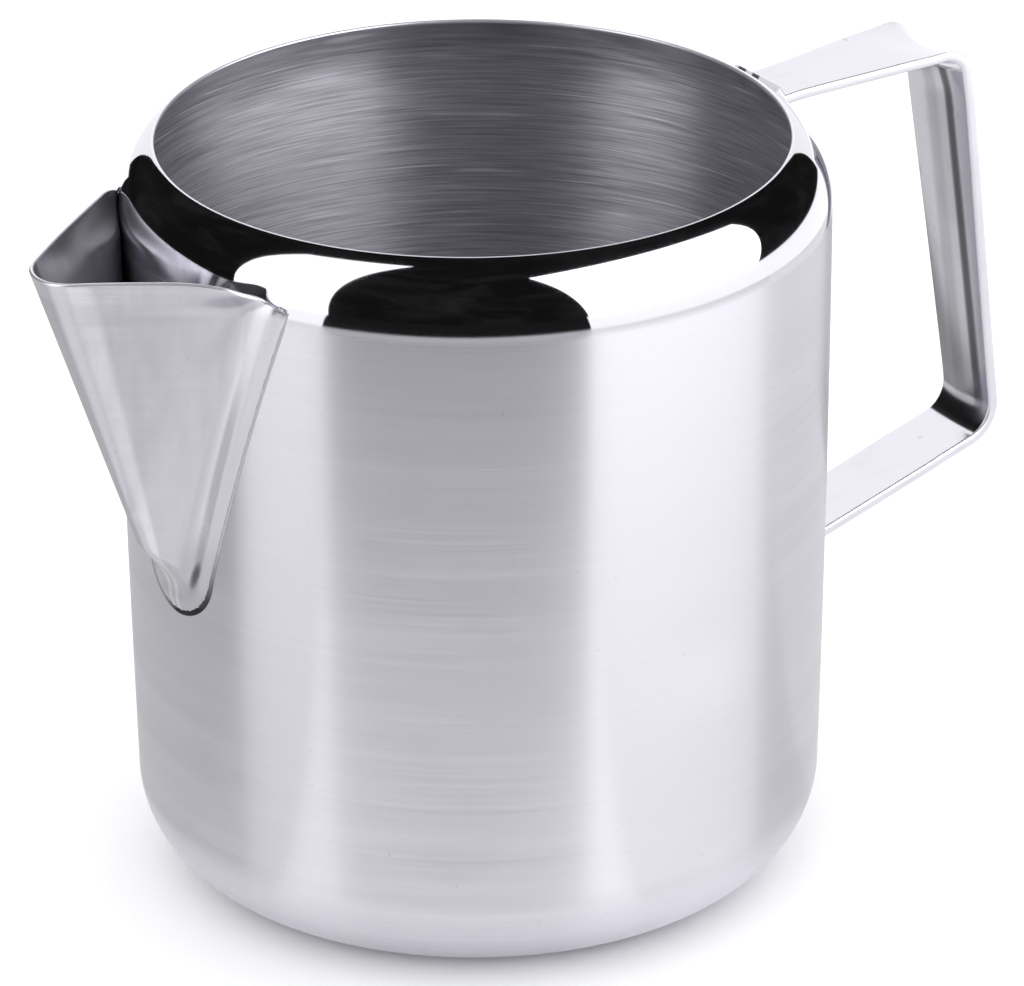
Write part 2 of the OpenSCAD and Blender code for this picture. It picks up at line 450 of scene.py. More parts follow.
class SpoutShape:
    """The spout as a height over the wall: reach from the axis plane at (y, z)."""

    def __init__(self, sizes, jug):
        self.jug = jug
        self.sheet = sizes.sheet / MM
        self.foot_r = sizes.flange_radius / MM
        self.half = sizes.flange_half / MM
        self.top = sizes.flange_top / MM
        self.foot_z = sizes.flange_low / MM + self.foot_r
        rise = self.top - self.foot_z
        reach = hypot(self.half, rise)
        self.lean = atan2(self.half, rise) - asin(self.foot_r / reach)

    def edge_distance(self, y, z):
        """How far (y, z) is inside the flange's outline."""
        y, up = abs(y), z - self.foot_z
        c, s = cos(self.lean), sin(self.lean)
        if up * c + y * s < 0:
            return self.foot_r - hypot(y, up)
        return self.foot_r - (y * c - up * s)

    def nose(self, z):
        """Reach, nose radius and side angle of the spout at height z."""
        angle = radians(31 + 7 * smooth_step(z, 108.6, 114.6))
        return sloped(NOSE_REACH, z), sloped(NOSE_RADIUS, z), angle

    def beak(self, y, z):
        """Reach of the two flat sides and the round nose between them."""
        tip, r, angle = self.nose(z)
        r = max(r, LEAST_NOSE)
        y = abs(y)
        centre = tip - r
        if y < r * cos(angle):
            return centre + sqrt(r * r - y * y)
        return centre + (r - y * cos(angle)) / sin(angle)

    def reach(self, y, z):
        """Reach of the outside surface."""
        edge = self.edge_distance(y, z)
        lift = 0.16 + (self.sheet - 0.14) * smooth_step(edge, 0.0, 2.2)
        flange = self.jug.surface(y, z, lift)
        beak = soft_min(self.beak(y, z), sloped(FOOT_REACH, z), 2.4)
        return soft_max(flange, beak, 1.4 + 2.8 * (1 - smooth_step(z, 98, 111)))

    def spot(self, u, v):
        """A place on the flange's outline map: u across, v from foot to rim."""
        swing = u * (pi / 2 - self.lean)
        y0, z0 = self.foot_r * sin(swing), self.foot_z - self.foot_r * cos(swing)
        y1 = self.half * u
        z1 = between(RIM, y1)
        y, z = y0 + (y1 - y0) * v, z0 + (z1 - z0) * v
        return y, z


def make_spout_mesh(shape, finishes):
    """The spout's sheet with its flange, folded over to a round rim edge."""
    cols, rows, folds_high = 161, 131, 5
    jug = shape.jug
    outer = []
    for i in range(rows):
        v = 1 - (1 - i / (rows - 1)) ** 1.15
        row = []
        for j in range(cols):
            y, z = shape.spot(-1 + 2 * j / (cols - 1), v)
            row.append(Vector((-shape.reach(y, z), y, z)))
        outer.append(row)

    def normal(i, j):
        a = outer[min(i + 1, rows - 1)][j] - outer[max(i - 1, 0)][j]
        b = outer[i][min(j + 1, cols - 1)] - outer[i][max(j - 1, 0)]
        n = b.cross(a)
        n.normalize()
        return n if n.x < 0 else -n

    half = shape.sheet / 2
    inner = []
    for i in range(rows):
        row = []
        for j in range(cols):
            p = outer[i][j] - normal(i, j) * shape.sheet
            least = jug.wall(p.z) + 0.015
            flat = hypot(p.x, p.y)
            if flat < least:
                p.x *= least / flat
                p.y *= least / flat
            row.append(p)
        inner.append(row)
    sheet_rows = list(outer)
    last = rows - 1
    folds = [[] for _ in range(folds_high)]
    for j in range(cols):
        p, q = outer[last][j], inner[last][j]
        n = (p - q) / 2
        up = outer[last][j] - outer[last - 1][j]
        up = (up - n * (up.dot(n) / n.dot(n))).normalized() * min(half, n.length)
        for k in range(folds_high):
            a = pi * (k + 1) / (folds_high + 1)
            folds[k].append((p + q) / 2 + n * cos(a) + up * sin(a))
    sheet_rows += folds
    sheet_rows += [inner[i] for i in range(last, -1, -1)]
    points = [p for row in sheet_rows for p in row]
    total = len(sheet_rows)
    faces, kinds = [], []
    for i in range(total):
        k = (i + 1) % total
        for j in range(cols - 1):
            faces.append((i * cols + j, i * cols + j + 1, k * cols + j + 1, k * cols + j))
            kinds.append(2 if last <= i <= last + folds_high else 1 if i > last else 0)
    for j in (0, cols - 1):
        for i in range(rows - 1):
            faces.append((
                i * cols + j, (i + 1) * cols + j,
                (total - 2 - i) * cols + j, (total - 1 - i) * cols + j,
            ))
            kinds.append(0)
        cap = [(last + k) * cols + j for k in range(folds_high + 2)]
        faces.append(tuple(cap))
        kinds.append(0)
    return build("spout_sheet", points, faces, finishes, lambda k: kinds[k], crease=50.0)


# ---- weld beads


def bead_mesh(name, jug, path, widths, height, lift, finish):
    """A low round bead along a (y, z) path on the skin of the jug."""
    across = 8
    points = []
    for k, (y, z) in enumerate(path):
        a, b = Vector(path[max(k - 1, 0)]), Vector(path[min(k + 1, len(path) - 1)])
        t = (b - a).normalized()
        side = Vector((-t.y, t.x))
        taper = min(1.0, 0.25 + 1.2 * min(k, len(path) - 1 - k) / 6)
        half = widths[k] / 2 * taper
        ripple = 1 + 0.18 * sin(2.3 * k) + 0.1 * sin(5.1 * k + 1)
        for i in range(across + 1):
            s = -1 + 2 * i / across
            yy, zz = y + side.x * s * half, z + side.y * s * half
            rise = lift + height * ripple * taper * (1 - s * s)
            points.append((-jug.surface(yy, zz, rise), yy, zz))
        for s in (1, -1):
            yy, zz = y + side.x * s * half, z + side.y * s * half
            points.append((-jug.surface(yy, zz, 0.01), yy, zz))
    return build(name, points, tube_faces(len(path), across + 3), [finish], crease=60.0)


def seam_path(shape):
    """The flange's outline from one top corner round the foot to the other."""
    y0 = shape.foot_r * cos(shape.lean)
    z0 = shape.foot_z - shape.foot_r * sin(shape.lean)

    side_steps, foot_steps = 60, 48

    def side(sign):
        top_z = between(RIM, sign * shape.half)
        return [
            (sign * (y0 + (shape.half - y0) * k / side_steps), z0 + (top_z - z0) * k / side_steps)
            for k in range(1, side_steps + 1)
        ]

    foot = []
    for k in range(foot_steps + 1):
        a = -shape.lean - (pi - 2 * shape.lean) * k / foot_steps
        foot.append((shape.foot_r * cos(a), shape.foot_z + shape.foot_r * sin(a)))
    return list(reversed(side(1))) + foot + side(-1)


# ---- the strap's shape


# half widths of the strap: along the upper arm and the lower arm by x, down the grip by z
UPPER_ARM = ((52.0, 6.1), (54.5, 5.9), (58.0, 5.75), (72.0, 7.15), (84.0, 8.25), (90.0, 8.35))
LOWER_ARM = ((53.0, 6.1), (56.0, 6.2), (75.0, 6.45), (90.0, 6.6))
GRIP = ((40.0, 6.4), (50.0, 6.45), (60.0, 6.6), (80.0, 7.2), (100.0, 7.95), (114.0, 8.35))
ARM_TOP = 117.7
BEND_STEPS = 12


def strap_line(strap):
    """The strap's middle line in (x, z), bends turned, from the upper to the lower tab."""
    t = strap.thickness / MM
    # where the upper tab touches the shoulder, and which way it lies there
    touch = Vector((52.84, 116.4))
    up = Vector((-0.561, 0.828))
    out = Vector((up.y, -up.x))
    mid = touch + out * 0.2
    arm_z = ARM_TOP - t / 2
    end_z = arm_z - 1.8
    corners = [
        (mid + up * 0.8, 0.0), (mid + up * ((end_z - mid.y) / up.y), 1.4),
        (Vector((88.0 - t / 2, arm_z)), 4.2), (Vector((96.6 - t / 2, 49.6)), 5.6),
        (Vector((53.91 + t / 2, 36.9)), 3.0), (Vector((53.91 + t / 2, 22.9)), 0.0),
    ]
    line = []
    for k, (p, r) in enumerate(corners):
        if r == 0:
            line.append(p)
            continue
        u = (p - corners[k - 1][0]).normalized()
        v = (corners[k + 1][0] - p).normalized()
        bend = u.angle(v)
        hand = 1 if u.x * v.y - u.y * v.x < 0 else -1
        inwards = Vector((u.y, -u.x)) * hand
        start = p - u * r * tan(bend / 2)
        centre = start + inwards * r
        for i in range(BEND_STEPS + 1):
            f = bend * i / BEND_STEPS
            line.append(centre + (u * sin(f) - inwards * cos(f)) * r)
    dense = []
    for a, b in zip(line, line[1:]):
        n = max(1, ceil((b - a).length / 1.6))
        dense += [a + (b - a) * i / n for i in range(n)]
    dense.append(line[-1])
    return dense


def strap_half(p):
    """Half the strap's width at a place on its middle line."""
    x, z = p
    if z > 113:
        return between(UPPER_ARM, x)
    if x < 85:
        return between(LOWER_ARM, x)
    return between(GRIP, z)


def make_strap_mesh(strap, jug, finishes):
    """The bent strap: hollow on the outside of the grip, with soft long edges."""
    line = strap_line(strap)
    t, dish, edge = strap.thickness / MM, strap.dish / MM, strap.edge / MM
    across, turn = 20, 5
    points = []
    for k, p in enumerate(line):
        a, b = line[max(k - 1, 0)], line[min(k + 1, len(line) - 1)]
        along = (b - a).normalized()
        out = Vector((-along.y, along.x))
        half = strap_half(p)
        grip = smooth_step(p.x, 80, 89) * smooth_step(p.y, 46, 56)
        corner = smooth_step(p.y, 108, 115) * smooth_step(p.x, 76, 85)
        section = []

        def put(s, h):
            bow = (s / half) ** 2
            hollow = dish * grip * (bow - 0.45) + corner * (bow - 1.1)
            q = p + out * (h + hollow)
            section.append(Vector((q.x, s, q.y)))

        for sign in (1, -1):
            for i in range(across + 1):
                even = -1 + 2 * i / across
                eased = copysign(1 - (1 - abs(even)) ** 2.0, even)
                put(eased * (half - edge) * sign, sign * t / 2)
            wide, high = half - edge, t / 2 - edge
            bend = [pi / 2 * i / turn for i in range(1, turn)]
            for f in bend:
                put(sign * (wide + edge * sin(f)), sign * (high + edge * cos(f)))
            put(sign * half, sign * high)
            put(sign * half, -sign * high)
            for f in bend:
                put(sign * (wide + edge * cos(f)), -sign * (high + edge * sin(f)))
        ring = len(section)
        for q in section:
            if q.x < 60:
                least = jug.wall(q.z) + 0.02
                flat = hypot(q.x, q.y)
                if flat < least:
                    q.x, q.y = q.x * least / flat, q.y * least / flat
        points += section
    faces = tube_faces(len(line), ring)
    half_ring = ring // 2
    kinds = [
        2 if i % half_ring >= across else
        1 if i >= half_ring and p.x > 80 and 50 < p.y < 113.5 else 0
        for p in line[:-1] for i in range(ring)
    ] + [3, 3]
    return build("strap", points, faces, finishes, lambda k: kinds[k], crease=45.0)


def make_spot_mesh(name, jug, places, radius, finish):
    """Shallow round weld marks on the inside of the jug, at (y, z) places."""
    points, faces = [], []
    rings, sides = 7, 36
    for y0, z0 in places:
        first = len(points)
        for i in range(rings + 1):
            s = i / rings
            r = radius * s
            crown = 0.07 * exp(-((s - 0.82) / 0.12) ** 2) - 0.03 * (1 - s)
            lift = -jug.sheet - 0.035 - crown if i < rings else -jug.sheet + 0.15
            for j in range(sides):
                a = 2 * pi * j / sides
                y, z = y0 + r * cos(a), z0 + r * sin(a)
                if z > jug.shoulder_z:
                    here = Vector((jug.wall(z), z))
                    up = Vector((jug.wall(z + 0.05), z + 0.05)) - here
                    n = Vector((up.y, -up.x)).normalized()
                    q = here + n * lift
                else:
                    q = Vector((jug.wall(z) + lift, z))
                points.append((sqrt(max(q.x * q.x - y * y, 1.0)), y, q.y))
        for face in grid_faces(rings + 1, sides, closed=True):
            faces.append(tuple(first + k for k in face))
        faces.append(tuple(first + rings * sides + j for j in range(sides)))
    return build(name, points, faces, [finish], crease=60.0)


# ---- finishes


class Value:
    """A socket that takes part in ordinary sums."""

    def __init__(self, finish, socket):
        self.finish = finish
        self.socket = socket

    def _sum(self, kind, *terms):
        return self.finish.node("ShaderNodeMath", {"operation": kind}, dict(enumerate(terms)))

    def __add__(self, other):
        return self._sum("ADD", self, other)

    def __radd__(self, other):
        return self._sum("ADD", other, self)

    def __sub__(self, other):
        return self._sum("SUBTRACT", self, other)

    def __rsub__(self, other):
        return self._sum("SUBTRACT", other, self)

    def __mul__(self, other):
        return self._sum("MULTIPLY", self, other)

    def __rmul__(self, other):
        return self._sum("MULTIPLY", other, self)

    def __truediv__(self, other):
        return self._sum("DIVIDE", self, other)

    def __rtruediv__(self, other):
        return self._sum("DIVIDE", other, self)

    def __pow__(self, other):
        return self._sum("POWER", self, other)

    def __rpow__(self, other):
        return self._sum("POWER", other, self)

    def clamped(self):
        """The value held between 0 and 1."""
        return self._sum("MAXIMUM", self._sum("MINIMUM", self, 1.0), 0.0)


QUARTER_TURN = 0.25
WHITE = (1.0, 1.0, 1.0, 1.0)


class Finish:
    """One material's node tree."""

    def __init__(self, name):
        self.material = bpy.data.materials.new(name)
        self.material.use_nodes = True
        self.tree = self.material.node_tree
        self.tree.nodes.clear()

    def node(self, kind, settings=None, inputs=None, output=0):
        """Adds a node: settings first, then values or links on its sockets."""
        node = self.tree.nodes.new(kind)
        for key, value in (settings or {}).items():
            setattr(node, key, value)
        for key, value in (inputs or {}).items():
            socket = node.inputs[key]
            if isinstance(value, Value):
                self.tree.links.new(value.socket, socket)
            else:
                socket.default_value = value
        return Value(self, node.outputs[output]) if node.outputs else node

    def place(self):
        """The object's own coordinates, in metres."""
        return self.node("ShaderNodeTexCoord", output="Object")

    def split(self, vector):
        """The three parts of a vector."""
        first = self.node("ShaderNodeSeparateXYZ", None, {"Vector": vector})
        outputs = first.socket.node.outputs
        return tuple(Value(self, outputs[k]) for k in range(3))

    def join(self, x, y, z):
        """A vector from three values."""
        return self.node("ShaderNodeCombineXYZ", None, {"X": x, "Y": y, "Z": z})

    def noise(self, vector, scale=1.0, detail=2.0, roughness=0.5, distortion=0.0):
        """Soft random values round 0.5."""
        return self.node("ShaderNodeTexNoise", {"noise_dimensions": "3D"}, {
            "Vector": vector, "Scale": scale, "Detail": detail,
            "Roughness": roughness, "Distortion": distortion,
        })

    def ramp(self, value, low, high, start=0.0, end=1.0):
        """Runs softly from start to end while value goes from low to high."""
        return self.node("ShaderNodeMapRange", {"interpolation_type": "SMOOTHSTEP"}, {
            "Value": value, "From Min": low, "From Max": high, "To Min": start, "To Max": end,
        })

    def blend(self, amount, first, second):
        """Mixes two colours."""
        return self.node("ShaderNodeMix", {"data_type": "RGBA"}, {
            0: amount, 6: first, 7: second,
        }, output=2)

    def scaled(self, colour, amount):
        """A colour made darker or lighter."""
        if not isinstance(colour, Value):
            colour = colour[:3]
        return self.node("ShaderNodeVectorMath", {"operation": "SCALE"}, {
            0: colour, "Scale": amount,
        })

    def band(self, value, inner, outer, peak=1.0):
        """A soft spot round zero: peak while value squared is under inner, 0 past outer."""
        return self.ramp(value ** 2, inner, outer, peak, 0.0)

    def bump(self, height, strength, distance):
        """Fine relief."""
        return self.node("ShaderNodeBump", None, {
            "Strength": strength, "Distance": distance, "Height": height,
        })

    def end(self, shader):
        """Ends the tree in a shader."""
        self.node("ShaderNodeOutputMaterial", None, {"Surface": shader})
        return self.material

    def metal(self, colour, roughness, bump, brushing=0.0, metallic=1.0):
        """Ends the tree in bare metal; brushing draws reflections out along the height."""
        return self.end(self.node("ShaderNodeBsdfPrincipled", None, {
            "Base Color": colour, "Roughness": roughness.clamped(), "Metallic": metallic,
            "Anisotropic": brushing, "Anisotropic Rotation": QUARTER_TURN if brushing else 0.0,
            "Normal": bump,
        }))


def tinted(colour, scale=1.0):
    """A fixed colour made darker or lighter, with full alpha."""
    return tuple(c * scale for c in colour[:3]) + (1.0,)


def turned_marks(f, along, across, seed):
    """Places for marks that run round the jug: long along, fine across."""
    x, y, z = f.split(f.place())
    r = (x * x + y * y) ** 0.5
    return f.join(x * along + seed, y * along - seed, (z + r) * across)


def outside_steel(finish):
    """Satin wall below, mirror polish on the shoulder, fine marks, smudges and rubbed places."""
    f = Finish("jug_steel_outside")
    z = f.split(f.place())[2]
    polish = f.ramp(z, 0.1078, 0.1102)
    fine = f.noise(turned_marks(f, 18.0, 2600.0, 3.0), detail=3.0, roughness=0.65)
    broad = f.noise(turned_marks(f, 6.0, 260.0, 8.0), detail=2.0)
    smudge = f.noise(f.place(), scale=34.0, detail=4.0, roughness=0.6)
    marks = f.ramp(smudge, 0.52, 0.74)
    speck = f.ramp(f.noise(f.place(), scale=900.0, detail=1.0), 0.755, 0.83)
    satin = finish.satin + (fine - 0.5) * 0.09 + (broad - 0.5) * 0.05 + marks * 0.03
    shine = finish.mirror + marks * 0.015 + (fine - 0.5) * 0.012
    rough = satin * (1 - polish) + shine * polish
    tone = 1.0 - (1 - polish) * ((fine - 0.5) * 0.10 + (broad - 0.5) * 0.06) - speck * 0.12
    colour = f.scaled(finish.steel, tone)
    height = (fine - 0.5) * (1 - 0.9 * polish) + smudge * 0.05 * (1 - polish)
    return f.metal(colour, rough, f.bump(height, 0.18, 0.02 * MM), brushing=0.96)


def inside_steel(finish):
    """Brushed round and round, with longer bright scratches."""
    f = Finish("jug_steel_inside")
    fine = f.noise(turned_marks(f, 75.0, 3200.0, 1.0), detail=2.0, roughness=0.6)
    broad = f.noise(turned_marks(f, 9.0, 420.0, 5.0), detail=3.0, roughness=0.6)
    deep = f.noise(turned_marks(f, 48.0, 2100.0, 9.0), detail=1.0)
    scratch = f.ramp(deep, 0.64, 0.76)
    rough = 0.40 + (fine - 0.5) * 0.12 + (broad - 0.5) * 0.08 - scratch * 0.06
    tone = 0.92 + (fine - 0.5) * 1.30 + (broad - 0.5) * 0.28 + scratch * 0.50
    colour = f.scaled(finish.inside, tone)
    height = (fine - 0.5) + (broad - 0.5) * 0.8 + scratch * 0.6
    return f.metal(colour, rough, f.bump(height, 0.5, 0.05 * MM), brushing=0.94, metallic=0.86)


def edge_steel(finish):
    """The bright rubbed edge of the mouth and the spout."""
    f = Finish("edge_steel")
    wear = f.noise(f.place(), scale=160.0, detail=4.0, roughness=0.6)
    rough = 0.30 + (wear - 0.5) * 0.12
    colour = f.scaled(tinted(finish.steel, 1.12), 0.94 + wear * 0.12)
    return f.metal(colour, rough, f.bump(wear, 0.15, 0.05 * MM), metallic=0.78)


def spout_painted_light(f, y, z, smudge):
    """Tone of painted highlight bands along the nose and the flange, and of painted shade at the
    spout's foot.
    """
    aside = (y * y) ** 0.5 * 1000
    across = aside / ((z - 0.066) * 105 + 2.4)
    # painted highlight: a light band along the nose
    crest = f.ramp(across, 0.25, 0.42) * f.ramp(across, 0.92, 1.06, 1.0, 0.0)
    # painted shade at the spout's foot, stretched along the near flange edge
    dy, dz = y * 1000 + 6.2, z * 1000 - 62.3
    along = dy * -0.436 + dz * 0.90
    over = dy * 0.90 + dz * 0.436
    foot_shade_spread = (along / 3.6) ** 2 + over ** 2 + (smudge - 0.5) * 1.2
    painted_foot_shade = f.ramp(foot_shade_spread, 0.0, 1.0, 1.0, 0.0)
    # painted highlight bands along the flange's bank and crease
    outward = aside - (z * 1000 - 62.0) * 0.330
    bank = f.ramp(outward, 2.6, 4.4) * f.ramp(z, 0.063, 0.072)
    crease = f.band(outward - 5.6, 0.1, 2.2) * f.ramp(z, 0.066, 0.074)
    return (1 + crest * 0.26 + bank * 0.17 + crease * 0.17) * (1 - painted_foot_shade * 0.70)


def spout_steel(finish, inner):
    """Hand polished sheet: streaks up and down the spout, rubbed band under the rim, with painted
    highlights and painted shade.
    """
    f = Finish("spout_steel_inside" if inner else "spout_steel_outside")
    x, y, z = f.split(f.place())
    streak = f.noise(f.join(x * 420.0, y * 420.0, z * 24.0), detail=3.0, roughness=0.6)
    fine = f.noise(f.join(x * 60.0, y * 60.0, z * 1900.0), detail=2.0)
    smudge = f.noise(f.place(), scale=70.0, detail=4.0, roughness=0.62)
    marks = f.ramp(smudge, 0.52, 0.70)
    speck = f.ramp(f.noise(f.place(), scale=1300.0, detail=1.0), 0.72, 0.80)
    rubbed = f.ramp(z, 0.1108, 0.1118)
    base = 0.34 if inner else 0.30
    rough = base + (streak - 0.5) * 0.10 + (fine - 0.5) * 0.05 + marks * 0.04 - rubbed * 0.03
    tone = 0.98 - (streak - 0.5) * (0.34 if inner else 0.08)
    tone = tone - (fine - 0.5) * 0.05 - speck * 0.14 + rubbed * 0.03
    if inner:
        # painted shade in the corner against the jug's wall: darker towards the wall
        tone = tone * (1 - f.ramp(x, -0.0568, -0.0510) * 0.55)
    else:
        # painted highlights and painted shade on the outside of the spout
        tone = tone * spout_painted_light(f, y, z, smudge)
    # both sides darker than the jug's steel as painted shade, the inside the most
    colour = f.scaled(tinted(finish.steel, 0.62 if inner else 0.83), tone)
    height = (streak - 0.5) * 0.5 + (fine - 0.5) * 0.5 + marks * 0.1
    bump = f.bump(height, 0.14, 0.03 * MM)
    return f.metal(colour, rough, bump, brushing=0.88, metallic=0.88 if inner else 1.0)


def weld_steel(finish):
    """Ground weld, left dark and grainy at the foot of the spout: partly the unpolished weld,
    partly painted shade under the flange's edge, deepest on the -y side.
    """
    f = Finish("weld_steel")
    _, y, z = f.split(f.place())
    grain = f.noise(f.place(), scale=1500.0, detail=3.0, roughness=0.7)
    patch = f.noise(f.place(), scale=420.0, detail=2.0)
    low = f.ramp(z + (patch - 0.5) * 0.004, 0.0545, 0.0700, 1.0, 0.0)
    # painted shade: the weld's foot darker on the -y side
    near = f.ramp(y, -0.0005, 0.0045, 1.0, 0.35)
    dark_weld_and_shade = (low * near * (0.75 + patch * 0.6)).clamped()
    colour = f.blend(dark_weld_and_shade, tinted(finish.weld), tinted(finish.foot_weld_and_shade))
    colour = f.scaled(colour, 0.78 + grain * 0.44)
    rough = 0.38 + dark_weld_and_shade * 0.2 + (grain - 0.5) * 0.2
    return f.metal(colour, rough, f.bump(grain, 0.6, 0.1 * MM))


def strap_steel(finish, inner):
    """Bright polished strap with lengthwise hairlines, smudges and a few knocks; the grip's inner
    face has painted shade and painted dark reflection lines.
    """
    f = Finish("strap_steel_inside" if inner else "strap_steel_outside")
    x, y, z = f.split(f.place())
    hair = f.noise(f.join(x * 26.0, y * 1700.0, z * 26.0), detail=3.0, roughness=0.6)
    smudge = f.noise(f.place(), scale=62.0, detail=4.0, roughness=0.6)
    marks = f.ramp(smudge, 0.55, 0.74)
    knock = f.ramp(f.noise(f.place(), scale=260.0, detail=2.0), 0.70, 0.78)
    rough = 0.15 + (hair - 0.5) * 0.07 + marks * 0.05
    tone = 1.02 - (hair - 0.5) * 0.07 - marks * 0.04 - knock * 0.18
    if inner:
        # painted dark reflections: lengthwise lines on the grip; the inner face darkened as painted
        # shade
        drawn = f.band(y * 1000 + 3.9, 0.0, 1.6) + f.band(y * 1000 - 0.6, 0.0, 5.0, peak=0.3)
        tone = tone * (0.70 - drawn * 0.55 * f.ramp(z, 0.048, 0.060))
        rough = rough + 0.06
    colour = f.scaled(tinted(finish.steel, 1.05), tone)
    height = (hair - 0.5) * 0.6 + marks * 0.15 - knock * 0.4
    return f.metal(colour, rough, f.bump(height, 0.12, 0.03 * MM))


def tab_end():
    """The sheared end of a tab: dull and pale, with two dark nicks from the welding tips."""
    f = Finish("tab_end_steel")
    _, y, z = f.split(f.place())
    grain = f.noise(f.place(), scale=700.0, detail=3.0)
    nicks = f.band(y * 1000 - 4.2, 0.5, 1.5) + f.band(y * 1000 - 0.6, 0.4, 1.3)
    dark = nicks * f.ramp(z, 0.1155, 0.1160) * 0.88
    colour = f.scaled((0.93, 0.925, 0.96), (0.92 + grain * 0.12) * (1 - dark))
    rough = 0.42 + (grain - 0.5) * 0.2
    return f.metal(colour, rough, f.bump(grain, 0.3, 0.05 * MM), metallic=0.30)


# ---- the stage

VIEW_AZIMUTH = radians(-33)
VIEW_ELEVATION = 0.4238
VIEW_DISTANCE = 1.250
VIEW_TARGET = Vector((0, 0, 0.060))
# the lens and the frame in the same small unit, and the place in the frame it aims at
FOCUS = 8035.85
FRAME_WIDTH, FRAME_HEIGHT = 1024, 986
AIM = (476.055, 491.409)
ROLL = -0.0095
SENSOR = 36.0


def make_camera():
    """The viewpoint: a long lens looking down at the jug from the spout's side."""
    back = Vector((
        sin(VIEW_AZIMUTH) * cos(VIEW_ELEVATION),
        -cos(VIEW_AZIMUTH) * cos(VIEW_ELEVATION),
        sin(VIEW_ELEVATION),
    ))
    right = Vector((cos(VIEW_AZIMUTH), sin(VIEW_AZIMUTH), 0))
    forward = -back
    up = right.cross(forward)
    yaw = atan((AIM[0] - FRAME_WIDTH / 2) / FOCUS)
    pitch = -atan(-(AIM[1] - FRAME_HEIGHT / 2) / FOCUS)
    spin = Matrix.Rotation(yaw, 3, up)
    forward, right = spin @ forward, spin @ right
    forward = Matrix.Rotation(pitch, 3, right) @ forward
    up = right.cross(forward)
    right, up = (
        right * cos(ROLL) + up * sin(ROLL),
        up * cos(ROLL) - right * sin(ROLL),
    )
    data = bpy.data.cameras.new("view")
    data.sensor_fit = "HORIZONTAL"
    data.sensor_width = SENSOR
    data.lens = FOCUS * SENSOR / FRAME_WIDTH
    data.clip_start, data.clip_end = 0.05, 50.0
    camera = bpy.data.objects.new("view", data)
    turn = Matrix((right, up, -forward)).transposed().to_4x4()
    camera.matrix_world = Matrix.Translation(VIEW_TARGET + back * VIEW_DISTANCE) @ turn
    bpy.context.scene.collection.objects.link(camera)
    bpy.context.scene.camera = camera


def towards(azimuth, elevation, distance):
    """A place in the studio: azimuth from the camera's side to the right, in degrees."""
    a, e = radians(azimuth), radians(elevation)
    flat = Vector((sin(a), -cos(a), 0)) * cos(e)
    spin = Matrix.Rotation(VIEW_AZIMUTH, 3, "Z")
    return spin @ (flat + Vector((0, 0, sin(e)))) * distance + Vector((0, 0, 0.11))


def stage_piece(name, points, faces, material, reflected=True):
    """A piece of the studio, kept out of sight except in reflections unless told otherwise."""
    piece = build(name, points, faces, [material])
    if reflected:
        for kind in ("camera", "diffuse", "transmission", "volume_scatter", "shadow"):
            setattr(piece, f"visible_{kind}", False)


def panel(name, corners, distance, material, steps=12):
    """A light panel with four corners given as studio directions."""
    a, b, c, d = [towards(az, el, distance) for az, el in corners]
    points = []
    for i in range(steps + 1):
        for j in range(steps + 1):
            u, v = i / steps, j / steps
            points.append(((a * (1 - u) + b * u) * (1 - v) + (d * (1 - u) + c * u) * v) / MM)
    stage_piece(name, points, grid_faces(steps + 1, steps + 1), material)


def glow(name, strength):
    """An even white light."""
    f = Finish(name)
    return f.end(f.node("ShaderNodeEmission", None, {"Color": WHITE, "Strength": strength}))


def dark_room():
    """The unlit studio: nearly black with faint cloudy shapes."""
    f = Finish("dark_room")
    cloud = f.noise(f.place(), scale=1.3, detail=3.0, roughness=0.6, distortion=0.8)
    colour = f.scaled(WHITE, f.ramp(cloud, 0.38, 0.78, 0.007, 0.020))
    return f.end(f.node("ShaderNodeEmission", None, {"Color": colour, "Strength": 1.0}))


def floor_paint():
    """Pale matt table top with a faint mottle."""
    f = Finish("floor_paint")
    mottle = f.noise(f.place(), scale=14.0, detail=3.0)
    colour = f.scaled((0.93, 0.93, 0.935), 0.985 + mottle * 0.03)
    return f.end(f.node("ShaderNodeBsdfPrincipled", None, {
        "Base Color": colour, "Roughness": 0.9, "Specular IOR Level": 0.1,
    }))


FLOOR_REACH, FLOOR_Z = 6000.0, -0.02  # in millimetres
ZONE_Z = 0.0015  # in metres, like the reaches below
WORLD_LIGHT = 1.45
LEFT_SHARE = 0.62
BACK_LIGHT = 1.15
DOME_LOW, DOME_SHARE = -8, 1.25

# glowing patches over the floor, seen only in reflections: painted light and painted shade of the
# floor round the jug
FLOOR_ZONES = (
    # azimuth from and to, reach from and to, brightness
    (-45, 34, 0.062, 0.20, 1.05),
    (-45, 34, 0.20, 0.34, 0.86),
    (34, 100, 0.062, 0.34, 0.83),
    (100, 150, 0.062, 0.34, 0.95),
    (150, 171, 0.062, 0.34, 1.00),
    (171, 189, 0.062, 0.34, 0.34),
    (189, 212, 0.062, 0.34, 1.00),
    (-148, -73.5, 0.062, 0.32, 0.76),
    (-73.5, -45, 0.062, 0.34, 0.79),
    (-45, 34, 0.34, 2.0, 0.012),
    (-148, -73.5, 0.32, 2.0, 0.012),
)


def make_world():
    """The even light on matt surfaces; the dome keeps it out of reflections."""
    world = bpy.data.worlds.new("studio")
    world.use_nodes = True
    background = world.node_tree.nodes["Background"]
    background.inputs["Color"].default_value = WHITE
    background.inputs["Strength"].default_value = WORLD_LIGHT
    bpy.context.scene.world = world


def make_floor():
    """The pale floor under the jug."""
    r = FLOOR_REACH
    points = [(x, y, FLOOR_Z) for x, y in ((-r, -r), (r, -r), (r, r), (-r, r))]
    stage_piece("floor", points, [(0, 1, 2, 3)], floor_paint(), reflected=False)


